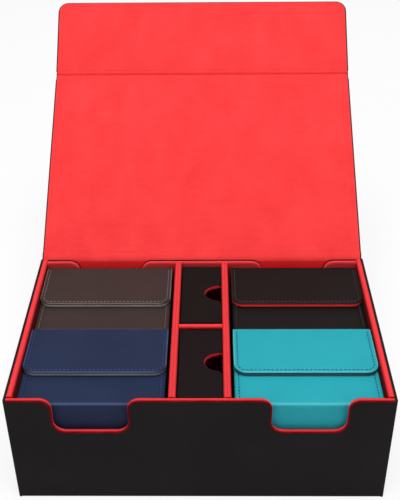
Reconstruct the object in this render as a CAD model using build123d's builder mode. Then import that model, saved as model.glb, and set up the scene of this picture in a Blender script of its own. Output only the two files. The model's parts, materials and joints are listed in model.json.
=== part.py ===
"""Trading card case: a leather-covered box with a red lining, an open clamshell lid with a magnetic
flap, four deck boxes with flaps of their own and two narrow trays that stand on their side.

Millimetres, +Z up, +X to the right, +Y to the back. The origin is the centre of the underside of the
closed box. Every piece is drawn where it stands with the lid leaning back, open."""

from build123d import *
from math import cos, radians, sin, sqrt
import os

# ---- the box -------------------------------------------------------------------------------------
case_width = 275.0
case_depth = 175.0
case_height = 99.0
side_board = 2.1
front_leather = 1.4
spine_board = 2.4
base_board = 2.0
side_padding = 4.0
front_wall = 4.4
back_wall = 4.0
spine_velvet = 0.8
floor_velvet = 1.2
seam_gap = 0.3
tolerance = 0.01
front_face = -case_depth / 2
back_face = case_depth / 2
floor_top = base_board + floor_velvet
inner_front = front_face + front_wall
spine_front = back_face - spine_board
back_wall_rear = spine_front - spine_velvet - seam_gap
inner_back = back_wall_rear - back_wall
inner_side = case_width / 2 - side_board - side_padding
inner_depth = inner_back - inner_front

# ---- finger cut-outs in the front and back walls ----------------------------------------------------
cutout_centre = 77.4
cutout_width = 53.2
cutout_depth = 30.2
cutout_top_radius = 8.5
cutout_bottom_radius = 9.0
rolled_edge = 1.2
front_wall_outer_roll = 1.0
front_wall_inner_roll = 1.6
back_wall_roll = 1.5
side_wall_roll = 1.8
board_corner = 1.1
board_edge = 0.9
base_edge = 0.3

# ---- dividers -----------------------------------------------------------------------------------------
divider_thickness = 5.6
divider_centre = 19.5
cross_divider_thickness = 4.0
cross_divider_rear = front_face + 85.5
divider_roll = 2.4
cross_divider_roll = 1.6

# ---- lid and flap -------------------------------------------------------------------------------------
lid_width = 273.0
lid_lean = 33.9
hinge_y = back_face - 1.0
hinge_z = case_height + 1.2
crease_distance = 182.6
flap_length = 74.2
flap_bend = 9.6
hinge_half_gap = 4.0
lid_leather_low = -2.6
lid_leather_high = -0.2
lid_velvet_high = 0.8
lid_velvet_inset = 1.2
lid_corner_radius = 9.5
crease_leather = 1.0
crease_velvet = 0.9
spine_top = case_height - 2.0
crease_start = crease_distance - hinge_half_gap

# ---- magnets ------------------------------------------------------------------------------------------
magnet_clearance = 0.1
case_magnet_radius = 6.0
case_magnet_thickness = 1.5
case_magnet_spread = 72.0
case_magnet_reach = 56.0
deck_magnet_radius = 4.0
deck_magnet_pocket = deck_magnet_radius + magnet_clearance
deck_magnet_thickness = 1.0
deck_magnet_spread = 30.0
deck_magnet_reach = 41.0

# ---- deck boxes ---------------------------------------------------------------------------------------
deck_width = 106.0
deck_length = 79.0
deck_centre = 77.8
deck_bottom = floor_top + 0.2
deck_body_top = case_height - 8.3
deck_flap_top = case_height - 4.2
deck_wall = 2.4
deck_velvet = 0.8
deck_corner = 1.8
deck_panel = 3.0
deck_flap_reach = 50.4
deck_flap_leather = 2.0
deck_flap_corner = 9.0
deck_flap_gap = 0.3
deck_flap_edge = 0.7
deck_front_edge = 1.2
deck_lining_inset = 0.4
deck_front_gap = 1.0
deck_back_gap = 1.3
deck_row_front = {
    "front": inner_front + deck_front_gap,
    "back": inner_back - deck_back_gap - deck_length,
}
decks = {
    "brown": (-deck_centre, "back"),
    "navy": (-deck_centre, "front"),
    "black": (deck_centre, "back"),
    "teal": (deck_centre, "front"),
}

# ---- narrow trays that stand on their side ------------------------------------------------------------
tray_width = 32.4
tray_length = 75.4
tray_top = case_height - 2.4
tray_wall = 2.0
tray_velvet = 0.8
tray_corner = 1.4
tray_closed_edge = 1.2
tray_front_gap = 1.2
tray_rear_gap = 4.1
notch_skin = 0.2
notch_depth = 13.3
notch_half_width = 10.2
notch_flare = 5.0
cut_margin = 0.5
trays = {
    "rear": cross_divider_rear + tray_rear_gap,
    "front": inner_front + tray_front_gap,
}

os.makedirs("parts", exist_ok=True)


def save(piece, name):
    """Label a finished piece and write it under its own name."""
    piece.part.label = name
    export_step(piece.part, f"parts/{name}.step")


def facing_front(y):
    """Plane that looks at the front of the box: sketch x is X, sketch y is Z, extrusion runs to -Y."""
    return Plane(origin=(0, y, 0), x_dir=(1, 0, 0), z_dir=(0, -1, 0))


def facing_side(x):
    """Plane that looks from the right: sketch x is Y, sketch y is Z, extrusion runs to +X."""
    return Plane(origin=(x, 0, 0), x_dir=(0, 1, 0), z_dir=(1, 0, 0))


def cutout_outline(plane, width, bottom, inset):
    """Wall outline with its two finger cut-outs, drawn in by an inset along the top and the cut-outs."""
    top = case_height - inset
    notch_floor = case_height - cutout_depth - inset
    half_notch = cutout_width / 2 + inset
    with BuildSketch(plane) as outline:
        with Locations((0, bottom)):
            Rectangle(width, top - bottom, align=(Align.CENTER, Align.MIN))
        with Locations((-cutout_centre, notch_floor), (cutout_centre, notch_floor)):
            Rectangle(
                2 * half_notch, cutout_depth + 1, align=(Align.CENTER, Align.MIN), mode=Mode.SUBTRACT
            )
        corners = outline.vertices().filter_by(lambda v: abs(v.X) < width / 2 - 1)
        fillet(corners.filter_by(lambda v: v.Y < notch_floor + tolerance), cutout_bottom_radius + inset)
        shoulders = outline.vertices().filter_by(
            lambda v: v.Y > top - tolerance and abs(v.X) < width / 2 - 1
        )
        fillet(shoulders, cutout_top_radius - inset)
    return outline.sketch


def rim_edges(piece, y, width):
    """The edges of a wall that run along its top and round its cut-outs, on the face at y."""
    lowest = case_height - cutout_depth - 1
    return piece.edges().filter_by(
        lambda e: abs(e.center().Y - y) < tolerance
        and e.center().Z > lowest
        and abs(e.center().X) < width / 2 - 0.5
    )


# ======================================================================================================
# Outer box: leather-covered boards
# ======================================================================================================
between_sides = case_width - 2 * side_board
catch_height = hinge_z - case_magnet_reach

with BuildPart() as base_panel:
    with BuildSketch(Plane.XY):
        with Locations((0, (front_face + front_leather + spine_front) / 2)):
            Rectangle(between_sides, spine_front - front_face - front_leather)
    extrude(amount=base_board)
    chamfer(base_panel.faces().sort_by(Axis.Z)[0].edges(), base_edge)
save(base_panel, "base_panel")

with BuildPart() as front_cover:
    extrude(
        cutout_outline(facing_front(front_face + front_leather), between_sides, 0, rolled_edge),
        amount=front_leather,
    )
    fillet(front_cover.edges().group_by(Axis.Z)[0].sort_by(Axis.Y)[0], board_edge)
save(front_cover, "front_cover")

for name, side in (("left_cover", -1), ("right_cover", 1)):
    outer_x = side * case_width / 2
    with BuildPart() as side_cover:
        with BuildSketch(Plane.XY):
            with Locations((outer_x - side * side_board / 2, (front_face + spine_front) / 2)):
                Rectangle(side_board, spine_front - front_face)
        extrude(amount=case_height)
        upright = side_cover.edges().filter_by(Axis.Z).group_by(Axis.Y)[0]
        fillet(upright.sort_by(lambda e: abs(e.center().X))[-1], board_corner)
        fillet(side_cover.faces().sort_by(Axis.Z)[-1].edges().filter_by(Axis.Y), board_edge)
    save(side_cover, name)

with BuildPart() as spine_cover:
    with BuildSketch(facing_side(-case_width / 2)):
        with Locations(((spine_front + back_face) / 2, 0)):
            Rectangle(spine_board, spine_top, align=(Align.CENTER, Align.MIN))
    extrude(amount=case_width)
    fillet(spine_cover.edges().filter_by(Axis.Z).group_by(Axis.Y)[-1], board_corner)
    fillet(spine_cover.edges().filter_by(Axis.X).group_by(Axis.Z)[0].sort_by(Axis.Y)[-1], board_edge)
save(spine_cover, "spine_cover")

# ======================================================================================================
# Red velvet-covered boards inside the box
# ======================================================================================================
# The front board is the piece that takes the most care: its rolled velvet edge runs along the top,
# dips through both finger cut-outs and laps over the leather in front of it.
with BuildPart() as front_wall_board:
    extrude(cutout_outline(facing_front(inner_front), between_sides, base_board, 0), amount=front_wall)
    fillet(rim_edges(front_wall_board, front_face, between_sides), front_wall_outer_roll)
    fillet(rim_edges(front_wall_board, inner_front, between_sides), front_wall_inner_roll)
    extrude(
        cutout_outline(facing_front(front_face + front_leather), between_sides, 0, rolled_edge),
        amount=front_leather,
        mode=Mode.SUBTRACT,
    )
    with BuildSketch(facing_front(front_face + front_leather)):
        with Locations((-case_magnet_spread, catch_height), (case_magnet_spread, catch_height)):
            Circle(case_magnet_radius + magnet_clearance)
    extrude(amount=-case_magnet_thickness, mode=Mode.SUBTRACT)
save(front_wall_board, "front_wall")

with BuildPart() as back_wall_board:
    extrude(cutout_outline(facing_front(back_wall_rear), 2 * inner_side, floor_top, 0), amount=back_wall)
    fillet(rim_edges(back_wall_board, inner_back, 2 * inner_side), back_wall_roll)
    fillet(rim_edges(back_wall_board, back_wall_rear, 2 * inner_side), back_wall_roll)
save(back_wall_board, "back_wall")

for name, side in (("left_wall", -1), ("right_wall", 1)):
    with BuildPart() as side_wall:
        with BuildSketch(Plane.XY.offset(base_board)):
            with Locations((side * (inner_side + side_padding / 2), (inner_front + back_wall_rear) / 2)):
                Rectangle(side_padding, back_wall_rear - inner_front)
        extrude(amount=case_height - base_board)
        fillet(side_wall.faces().sort_by(Axis.Z)[-1].edges().filter_by(Axis.Y), side_wall_roll)
    save(side_wall, name)

with BuildPart() as floor_lining:
    with BuildSketch(Plane.XY.offset(base_board)):
        with Locations((0, (inner_front + back_wall_rear) / 2)):
            Rectangle(2 * inner_side, back_wall_rear - inner_front)
    extrude(amount=floor_velvet)
save(floor_lining, "floor_lining")

with BuildPart() as spine_lining:
    with BuildSketch(Plane.XY.offset(base_board)):
        with Locations((0, spine_front - spine_velvet / 2)):
            Rectangle(between_sides, spine_velvet)
    extrude(amount=spine_top - base_board)
save(spine_lining, "spine_lining")

for name, side in (("left_divider", -1), ("right_divider", 1)):
    with BuildPart() as divider:
        with BuildSketch(Plane.XY.offset(floor_top)):
            with Locations((side * divider_centre, (inner_front + inner_back) / 2)):
                Rectangle(divider_thickness, inner_depth)
        extrude(amount=case_height - floor_top)
        fillet(divider.faces().sort_by(Axis.Z)[-1].edges().filter_by(Axis.Y), divider_roll)
    save(divider, name)

with BuildPart() as cross_divider:
    with BuildSketch(Plane.XY.offset(floor_top)):
        with Locations((0, cross_divider_rear - cross_divider_thickness / 2)):
            Rectangle(2 * divider_centre - divider_thickness, cross_divider_thickness)
    extrude(amount=case_height - floor_top)
    fillet(cross_divider.faces().sort_by(Axis.Z)[-1].edges().filter_by(Axis.X), cross_divider_roll)
save(cross_divider, "cross_divider")

with BuildPart() as catch_magnets:
    with BuildSketch(facing_front(front_face + front_leather)):
        with Locations((-case_magnet_spread, catch_height), (case_magnet_spread, catch_height)):
            Circle(case_magnet_radius)
    extrude(amount=-case_magnet_thickness)
save(catch_magnets, "catch_magnets")

# ======================================================================================================
# Lid and flap: leather-covered boards with a velvet lining, joined by folds of bare leather and velvet
# ======================================================================================================
lid_angle = radians(lid_lean)
flap_angle = radians(lid_lean + flap_bend)
lid_plane = Plane(
    origin=(0, hinge_y, hinge_z), x_dir=(1, 0, 0), z_dir=(0, -sin(lid_angle), cos(lid_angle))
)
crease_y = hinge_y + crease_distance * cos(lid_angle)
crease_z = hinge_z + crease_distance * sin(lid_angle)
flap_plane = Plane(
    origin=(0, crease_y, crease_z), x_dir=(1, 0, 0), z_dir=(0, -sin(flap_angle), cos(flap_angle))
)


def sheet_outline(plane, width, near, far, corner_radius):
    """Rectangle that runs from near to far along a lid or flap plane, with rounded far corners."""
    with BuildSketch(plane) as outline:
        with Locations((0, (near + far) / 2)):
            Rectangle(width, far - near)
        if corner_radius:
            fillet(outline.vertices().group_by(Axis.Y)[-1], corner_radius)
    return outline.sketch


with BuildPart() as lid_cover:
    extrude(
        sheet_outline(lid_plane.offset(lid_leather_low), lid_width, hinge_half_gap, crease_start, 0),
        amount=lid_leather_high - lid_leather_low,
    )
    outside = lid_cover.faces().sort_by(lambda f: f.center().dot(lid_plane.z_dir))[0]
    fillet(outside.edges(), board_edge)
save(lid_cover, "lid_cover")

with BuildPart() as lid_lining:
    extrude(
        sheet_outline(
            lid_plane.offset(lid_leather_high),
            lid_width - 2 * lid_velvet_inset,
            hinge_half_gap,
            crease_start,
            0,
        ),
        amount=lid_velvet_high - lid_leather_high,
    )
save(lid_lining, "lid_lining")

with BuildPart() as flap_cover:
    extrude(
        sheet_outline(
            flap_plane.offset(lid_leather_low), lid_width, hinge_half_gap, flap_length, lid_corner_radius
        ),
        amount=lid_leather_high - lid_leather_low,
    )
    outside = flap_cover.faces().sort_by(lambda f: f.center().dot(flap_plane.z_dir))[0]
    fillet(outside.edges(), board_edge)
    with BuildSketch(flap_plane.offset(lid_leather_high)):
        with Locations((-case_magnet_spread, case_magnet_reach), (case_magnet_spread, case_magnet_reach)):
            Circle(case_magnet_radius + magnet_clearance)
    extrude(amount=-case_magnet_thickness, mode=Mode.SUBTRACT)
save(flap_cover, "flap_cover")

with BuildPart() as flap_lining:
    extrude(
        sheet_outline(
            flap_plane.offset(lid_leather_high),
            lid_width - 2 * lid_velvet_inset,
            hinge_half_gap,
            flap_length - lid_velvet_inset,
            lid_corner_radius - lid_velvet_inset,
        ),
        amount=lid_velvet_high - lid_leather_high,
    )
save(flap_lining, "flap_lining")

with BuildPart() as flap_magnets:
    with BuildSketch(flap_plane.offset(lid_leather_high)):
        with Locations((-case_magnet_spread, case_magnet_reach), (case_magnet_spread, case_magnet_reach)):
            Circle(case_magnet_radius)
    extrude(amount=-case_magnet_thickness)
save(flap_magnets, "flap_magnets")


def on_sheet(plane, along, out):
    """Point of a lid or flap plane, as the (Y, Z) pair that a side profile is drawn with."""
    point = plane.from_local_coords((0, along, out))
    return (point.Y, point.Z)


def fold_strip(name, width, *profile):
    """A strip across a fold, drawn as its side profile and run over the width of the lid."""
    with BuildPart() as strip:
        with BuildSketch(facing_side(-width / 2)):
            with BuildLine():
                Polyline(*profile, close=True)
            make_face()
        extrude(amount=width)
    save(strip, name)


lid_start = hinge_half_gap
fold_strip(
    "lid_fold_leather",
    lid_width,
    (spine_front, spine_top),
    (back_face, spine_top),
    on_sheet(lid_plane, lid_start, lid_leather_low),
    on_sheet(lid_plane, lid_start, lid_leather_high),
)
fold_strip(
    "lid_fold_lining",
    between_sides,
    (spine_front - spine_velvet, spine_top),
    (spine_front, spine_top),
    on_sheet(lid_plane, lid_start, lid_leather_high),
    on_sheet(lid_plane, lid_start, lid_velvet_high),
)

crease_low = lid_leather_low
crease_mid = crease_low + crease_leather
crease_high = crease_mid + crease_velvet
fold_strip(
    "flap_fold_leather",
    lid_width,
    on_sheet(lid_plane, crease_start, crease_low),
    on_sheet(flap_plane, hinge_half_gap, crease_low),
    on_sheet(flap_plane, hinge_half_gap, crease_mid),
    on_sheet(lid_plane, crease_start, crease_mid),
)
fold_strip(
    "flap_fold_lining",
    lid_width - 2 * lid_velvet_inset,
    on_sheet(lid_plane, crease_start, crease_mid),
    on_sheet(flap_plane, hinge_half_gap, crease_mid),
    on_sheet(flap_plane, hinge_half_gap, crease_high),
    on_sheet(lid_plane, crease_start, crease_high),
)

# ======================================================================================================
# Deck boxes: each lies on its back, mouth to the rear, with its flap folded over the top
# ======================================================================================================
deck_body_height = deck_body_top - deck_bottom
deck_flap_thickness = deck_flap_top - deck_body_top - deck_flap_gap
nose_radius = deck_flap_thickness / 2


def deck_section(plane, centre_x, inset):
    """Cross section of a deck box across its width, drawn in by an inset all round."""
    with BuildSketch(plane) as section:
        with Locations((centre_x, deck_bottom + deck_body_height / 2)):
            RectangleRounded(deck_width - 2 * inset, deck_body_height - 2 * inset, deck_corner)
    return section.sketch


def magnet_discs(plane, centre_x, centre_y, radius):
    """A pair of magnet discs side by side in a deck box, drawn on a level plane."""
    with BuildSketch(plane) as discs:
        with Locations((centre_x - deck_magnet_spread, centre_y), (centre_x + deck_magnet_spread, centre_y)):
            Circle(radius)
    return discs.sketch


def deck_flap_outline(plane, centre_x, front_y, rear_y, inset):
    """Flap seen from above: square where it folds, round at its two front corners."""
    with BuildSketch(plane) as outline:
        with Locations((centre_x, (front_y + inset + rear_y) / 2)):
            Rectangle(deck_width - 2 * inset, rear_y - front_y - inset)
        fillet(outline.vertices().group_by(Axis.Y)[0], deck_flap_corner - inset)
    return outline.sketch


for deck, (centre_x, row) in decks.items():
    near_y = deck_row_front[row]
    far_y = near_y + deck_length
    mouth_y = far_y - deck_panel
    lining = deck_wall + deck_velvet
    magnet_y = far_y - deck_magnet_reach
    ceiling_z = deck_body_top - deck_wall

    with BuildPart() as shell:
        extrude(deck_section(facing_front(mouth_y), centre_x, 0), amount=deck_length - deck_panel)
        fillet(shell.faces().sort_by(Axis.Y)[0].edges(), deck_front_edge)
        extrude(
            deck_section(facing_front(mouth_y), centre_x, deck_wall),
            amount=deck_length - deck_panel - deck_wall,
            mode=Mode.SUBTRACT,
        )
        extrude(
            magnet_discs(Plane.XY.offset(ceiling_z), centre_x, magnet_y, deck_magnet_pocket),
            amount=deck_magnet_thickness,
            mode=Mode.SUBTRACT,
        )
    save(shell, f"{deck}_deck_shell")

    with BuildPart() as shell_lining:
        extrude(
            deck_section(facing_front(mouth_y), centre_x, deck_wall),
            amount=deck_length - deck_panel - deck_wall,
        )
        extrude(
            deck_section(facing_front(mouth_y), centre_x, lining),
            amount=deck_length - deck_panel - lining,
            mode=Mode.SUBTRACT,
        )
    save(shell_lining, f"{deck}_deck_lining")

    with BuildPart() as end_panel:
        extrude(deck_section(facing_front(far_y), centre_x, 0), amount=deck_panel)
        fillet(end_panel.faces().sort_by(Axis.Y)[-1].edges(), deck_front_edge)
    save(end_panel, f"{deck}_deck_end_panel")

    with BuildPart() as shell_magnets:
        extrude(
            magnet_discs(Plane.XY.offset(ceiling_z), centre_x, magnet_y, deck_magnet_radius),
            amount=deck_magnet_thickness,
        )
    save(shell_magnets, f"{deck}_deck_catch_magnets")

    flap_front = far_y - deck_flap_reach
    nose_y = far_y - nose_radius
    nose_z = deck_flap_top - nose_radius
    leather_bottom = deck_flap_top - deck_flap_leather
    with BuildPart() as deck_flap:
        extrude(
            deck_flap_outline(Plane.XY.offset(leather_bottom), centre_x, flap_front, nose_y, 0),
            amount=deck_flap_leather,
        )
        fillet(deck_flap.faces().sort_by(Axis.Z)[-1].edges().group_by(Axis.Y)[0:2], deck_flap_edge)
        with BuildSketch(facing_side(centre_x - deck_width / 2)):
            with Locations((nose_y, nose_z)):
                Circle(nose_radius)
        extrude(amount=deck_width)
        extrude(
            magnet_discs(Plane.XY.offset(leather_bottom), centre_x, magnet_y, deck_magnet_pocket),
            amount=deck_magnet_thickness,
            mode=Mode.SUBTRACT,
        )
    save(deck_flap, f"{deck}_deck_flap")

    with BuildPart() as flap_velvet:
        extrude(
            deck_flap_outline(
                Plane.XY.offset(deck_flap_top - deck_flap_thickness),
                centre_x,
                flap_front,
                nose_y - nose_radius - deck_lining_inset,
                deck_lining_inset,
            ),
            amount=deck_flap_thickness - deck_flap_leather,
        )
    save(flap_velvet, f"{deck}_deck_flap_lining")

    with BuildPart() as flap_discs:
        extrude(
            magnet_discs(Plane.XY.offset(leather_bottom), centre_x, magnet_y, deck_magnet_radius),
            amount=deck_magnet_thickness,
        )
    save(flap_discs, f"{deck}_deck_flap_magnets")

# ======================================================================================================
# Narrow trays: each stands on its side with its open face to the right and a thumb notch at the top
# ======================================================================================================
tray_height = tray_top - deck_bottom
tray_open_x = tray_width / 2


def notch_outline(plane, centre_y, margin):
    """Thumb notch in a tray's top wall: half an ellipse whose mouth flares at the open edge."""
    reach = notch_depth - margin
    half = notch_half_width - margin
    shoulder = half * sqrt(1 - (notch_flare / reach) ** 2)
    mouth = shoulder + notch_flare
    with BuildSketch(plane) as outline:
        with Locations((tray_open_x, centre_y)):
            Ellipse(reach, half)
            Rectangle(2 * notch_flare, 2 * mouth)
        for end in (-1, 1):
            with Locations((tray_open_x - notch_flare, centre_y + end * mouth)):
                Circle(notch_flare, mode=Mode.SUBTRACT)
        with Locations((tray_open_x, centre_y)):
            Rectangle(2 * reach, 4 * half, align=(Align.MIN, Align.CENTER), mode=Mode.SUBTRACT)
    return outline.sketch


for tray, near_y in trays.items():
    centre_y = near_y + tray_length / 2
    lining = tray_wall + tray_velvet

    with BuildPart() as tray_shell:
        with BuildSketch(facing_side(-tray_open_x)):
            with Locations((centre_y, deck_bottom + tray_height / 2)):
                RectangleRounded(tray_length, tray_height, tray_corner)
        extrude(amount=tray_width)
        fillet(tray_shell.faces().sort_by(Axis.X)[0].edges(), tray_closed_edge)
        with BuildSketch(facing_side(-tray_open_x + tray_wall)):
            with Locations((centre_y, deck_bottom + tray_height / 2)):
                Rectangle(tray_length - 2 * tray_wall, tray_height - 2 * tray_wall)
        extrude(amount=tray_width, mode=Mode.SUBTRACT)
        extrude(
            notch_outline(Plane.XY.offset(tray_top - tray_wall - cut_margin), centre_y, 0),
            amount=tray_wall + 2 * cut_margin,
            mode=Mode.SUBTRACT,
        )
    save(tray_shell, f"{tray}_tray_shell")

    with BuildPart() as tray_lining:
        with BuildSketch(facing_side(-tray_open_x + tray_wall)):
            with Locations((centre_y, deck_bottom + tray_height / 2)):
                Rectangle(tray_length - 2 * tray_wall, tray_height - 2 * tray_wall)
        extrude(amount=tray_width - tray_wall)
        with BuildSketch(facing_side(-tray_open_x + lining)):
            with Locations((centre_y, deck_bottom + tray_height / 2)):
                Rectangle(tray_length - 2 * lining, tray_height - 2 * lining)
        extrude(amount=tray_width, mode=Mode.SUBTRACT)
        extrude(
            notch_outline(Plane.XY.offset(tray_top - tray_wall), centre_y, 0),
            amount=tray_wall - notch_skin,
        )
        extrude(
            notch_outline(Plane.XY.offset(tray_top - lining - cut_margin), centre_y, tray_velvet),
            amount=lining + 2 * cut_margin,
            mode=Mode.SUBTRACT,
        )
    save(tray_lining, f"{tray}_tray_lining")
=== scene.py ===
import bpy
import bmesh
import json
import math
import random
from mathutils import Euler, Matrix, Vector, noise
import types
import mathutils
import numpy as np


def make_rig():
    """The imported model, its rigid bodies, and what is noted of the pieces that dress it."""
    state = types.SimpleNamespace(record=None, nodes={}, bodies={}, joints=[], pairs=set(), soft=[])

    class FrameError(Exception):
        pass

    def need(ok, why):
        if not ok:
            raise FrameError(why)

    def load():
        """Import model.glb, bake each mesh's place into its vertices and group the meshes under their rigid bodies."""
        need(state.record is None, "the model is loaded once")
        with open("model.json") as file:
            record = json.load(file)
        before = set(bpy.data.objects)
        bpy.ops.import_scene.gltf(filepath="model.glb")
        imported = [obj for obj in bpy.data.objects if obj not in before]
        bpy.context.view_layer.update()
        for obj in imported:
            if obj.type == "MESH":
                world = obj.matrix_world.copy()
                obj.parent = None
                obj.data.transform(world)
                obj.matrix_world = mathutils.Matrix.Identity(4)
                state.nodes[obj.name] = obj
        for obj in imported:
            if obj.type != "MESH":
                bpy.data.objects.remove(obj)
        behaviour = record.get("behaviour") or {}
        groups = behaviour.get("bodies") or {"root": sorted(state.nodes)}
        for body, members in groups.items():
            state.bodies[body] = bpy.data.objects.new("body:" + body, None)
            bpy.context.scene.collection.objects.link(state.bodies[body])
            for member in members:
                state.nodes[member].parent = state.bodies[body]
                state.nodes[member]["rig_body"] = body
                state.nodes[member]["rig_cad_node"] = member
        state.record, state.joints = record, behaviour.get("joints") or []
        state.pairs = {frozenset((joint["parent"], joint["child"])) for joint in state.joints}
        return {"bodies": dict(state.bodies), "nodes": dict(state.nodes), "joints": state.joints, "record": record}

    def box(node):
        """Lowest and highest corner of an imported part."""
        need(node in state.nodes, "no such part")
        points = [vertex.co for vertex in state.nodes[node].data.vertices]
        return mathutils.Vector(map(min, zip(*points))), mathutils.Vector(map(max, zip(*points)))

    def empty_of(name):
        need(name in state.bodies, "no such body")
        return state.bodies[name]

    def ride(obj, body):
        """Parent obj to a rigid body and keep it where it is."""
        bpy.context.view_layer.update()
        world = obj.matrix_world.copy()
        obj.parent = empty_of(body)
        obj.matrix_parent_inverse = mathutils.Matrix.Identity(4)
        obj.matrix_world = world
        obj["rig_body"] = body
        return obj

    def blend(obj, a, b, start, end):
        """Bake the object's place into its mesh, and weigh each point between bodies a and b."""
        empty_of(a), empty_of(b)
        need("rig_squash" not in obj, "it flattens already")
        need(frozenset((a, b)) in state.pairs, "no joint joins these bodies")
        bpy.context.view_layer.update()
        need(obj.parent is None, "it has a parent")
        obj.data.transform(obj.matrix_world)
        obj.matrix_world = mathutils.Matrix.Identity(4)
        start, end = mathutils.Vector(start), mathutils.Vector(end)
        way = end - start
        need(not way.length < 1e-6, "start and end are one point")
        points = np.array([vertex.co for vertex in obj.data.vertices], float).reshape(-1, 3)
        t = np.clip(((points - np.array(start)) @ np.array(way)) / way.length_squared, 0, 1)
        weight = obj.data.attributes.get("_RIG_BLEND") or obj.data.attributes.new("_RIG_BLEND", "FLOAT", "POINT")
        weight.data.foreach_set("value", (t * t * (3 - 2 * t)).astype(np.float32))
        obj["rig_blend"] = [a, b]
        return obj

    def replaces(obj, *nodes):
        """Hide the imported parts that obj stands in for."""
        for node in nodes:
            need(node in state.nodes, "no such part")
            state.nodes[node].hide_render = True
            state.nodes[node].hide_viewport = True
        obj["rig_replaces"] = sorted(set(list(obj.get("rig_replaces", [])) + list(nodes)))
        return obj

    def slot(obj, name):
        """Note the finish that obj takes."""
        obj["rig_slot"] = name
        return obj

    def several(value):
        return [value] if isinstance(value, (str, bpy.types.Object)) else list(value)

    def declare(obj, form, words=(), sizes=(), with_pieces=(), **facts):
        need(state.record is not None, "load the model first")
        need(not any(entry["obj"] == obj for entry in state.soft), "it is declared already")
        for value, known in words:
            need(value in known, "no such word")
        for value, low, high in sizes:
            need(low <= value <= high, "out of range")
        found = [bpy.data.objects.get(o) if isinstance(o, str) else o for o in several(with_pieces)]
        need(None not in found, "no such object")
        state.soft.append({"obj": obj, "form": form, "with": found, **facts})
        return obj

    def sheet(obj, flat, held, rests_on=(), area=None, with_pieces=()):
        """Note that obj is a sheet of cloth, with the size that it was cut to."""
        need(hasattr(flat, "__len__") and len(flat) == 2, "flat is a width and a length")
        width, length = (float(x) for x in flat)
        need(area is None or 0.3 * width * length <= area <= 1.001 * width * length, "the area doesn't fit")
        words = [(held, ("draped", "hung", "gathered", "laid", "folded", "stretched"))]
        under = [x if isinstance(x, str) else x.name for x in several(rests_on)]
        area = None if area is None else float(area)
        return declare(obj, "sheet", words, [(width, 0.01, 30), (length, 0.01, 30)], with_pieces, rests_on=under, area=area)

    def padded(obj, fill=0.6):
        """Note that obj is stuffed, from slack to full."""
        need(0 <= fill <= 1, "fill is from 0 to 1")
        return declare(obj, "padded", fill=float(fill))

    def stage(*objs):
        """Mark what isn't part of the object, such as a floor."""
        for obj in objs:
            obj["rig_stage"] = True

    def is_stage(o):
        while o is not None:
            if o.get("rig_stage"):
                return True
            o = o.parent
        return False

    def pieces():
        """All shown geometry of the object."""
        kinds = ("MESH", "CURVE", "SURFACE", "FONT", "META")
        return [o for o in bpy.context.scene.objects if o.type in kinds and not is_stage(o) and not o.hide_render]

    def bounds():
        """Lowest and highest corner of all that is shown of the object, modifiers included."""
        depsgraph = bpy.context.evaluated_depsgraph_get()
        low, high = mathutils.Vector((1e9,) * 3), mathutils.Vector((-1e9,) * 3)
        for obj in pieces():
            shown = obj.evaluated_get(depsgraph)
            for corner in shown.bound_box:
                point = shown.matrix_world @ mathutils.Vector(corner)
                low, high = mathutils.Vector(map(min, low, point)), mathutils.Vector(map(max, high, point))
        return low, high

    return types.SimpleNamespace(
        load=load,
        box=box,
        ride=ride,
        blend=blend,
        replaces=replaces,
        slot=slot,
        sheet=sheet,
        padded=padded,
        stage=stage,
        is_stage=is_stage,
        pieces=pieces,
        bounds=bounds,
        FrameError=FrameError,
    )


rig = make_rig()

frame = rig.load()
cad_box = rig.bounds()
mm = 0.001

# ------------------------
# Outer covers. Greyboard panels wrapped in thin matt black synthetic leather, glued down and turned
# in at every edge: base, front, two sides and spine. Their solids stay and only get the leather.


class Signal:
    """A shader socket that can stand in a sum or a product; each one adds its Math node."""

    def __init__(self, finish, socket):
        self.finish = finish
        self.socket = socket

    def math(self, operation, first, second):
        return self.finish.node("ShaderNodeMath", {"operation": operation}, {0: first, 1: second})

    def __add__(self, other):
        return self.math("ADD", self, other)

    __radd__ = __add__

    def __sub__(self, other):
        return self.math("SUBTRACT", self, other)

    def __rsub__(self, other):
        return self.math("SUBTRACT", other, self)

    def __mul__(self, other):
        return self.math("MULTIPLY", self, other)

    __rmul__ = __mul__


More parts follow.
